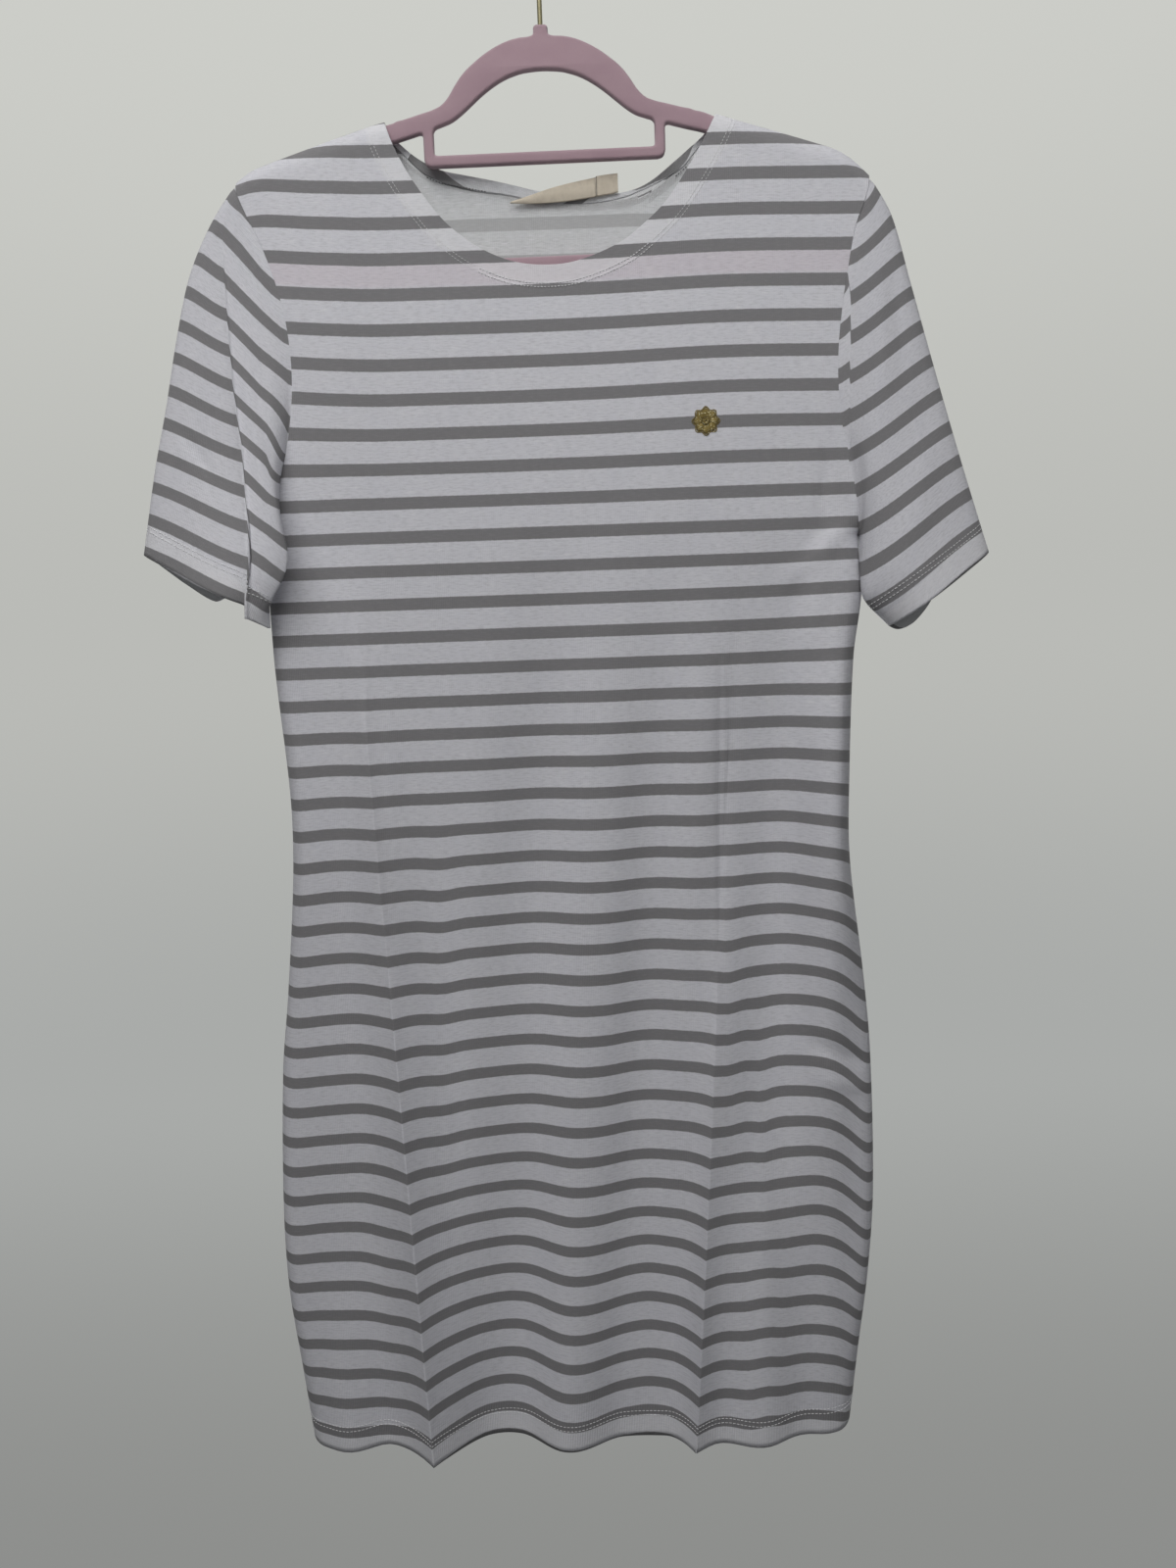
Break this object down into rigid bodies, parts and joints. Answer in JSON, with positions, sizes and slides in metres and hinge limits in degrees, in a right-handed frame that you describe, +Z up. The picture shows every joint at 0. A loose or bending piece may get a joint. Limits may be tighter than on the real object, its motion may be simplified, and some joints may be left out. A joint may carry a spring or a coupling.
{
  "type": "tunic dress on a hanger",
  "caption": "Short-sleeved striped jersey tunic dress hanging nearly flat on a slim flocked hanger with a wire hook.",
  "frame": {"origin": "the point inside the top of the hook that a rail or a nail bears on", "axes": "+Z up, the front of the dress faces -Y, +X is the wearer's left"},
  "size_m": [0.5948, 0.074, 1.0911],
  "materials": {
    "jersey": "matte cotton jersey, off-white with level grey stripes",
    "facing": "matte off-white jersey",
    "ribbon": "matte cream woven tape, blank",
    "gold_thread": "shiny gold thread",
    "flock": "dusty pink flock on a moulded body",
    "wire": "satin, brass-coloured plated steel wire"
  },
  "bodies": {
    "root": {"front_panel": "jersey", "back_panel": "jersey", "right_sleeve": "jersey", "left_sleeve": "jersey", "front_neck_facing": "facing", "back_neck_facing": "facing", "neck_label": "ribbon", "size_tab": "ribbon", "emblem": "gold_thread", "hanger": "flock", "hook": "wire"}
  },
  "joints": []
}
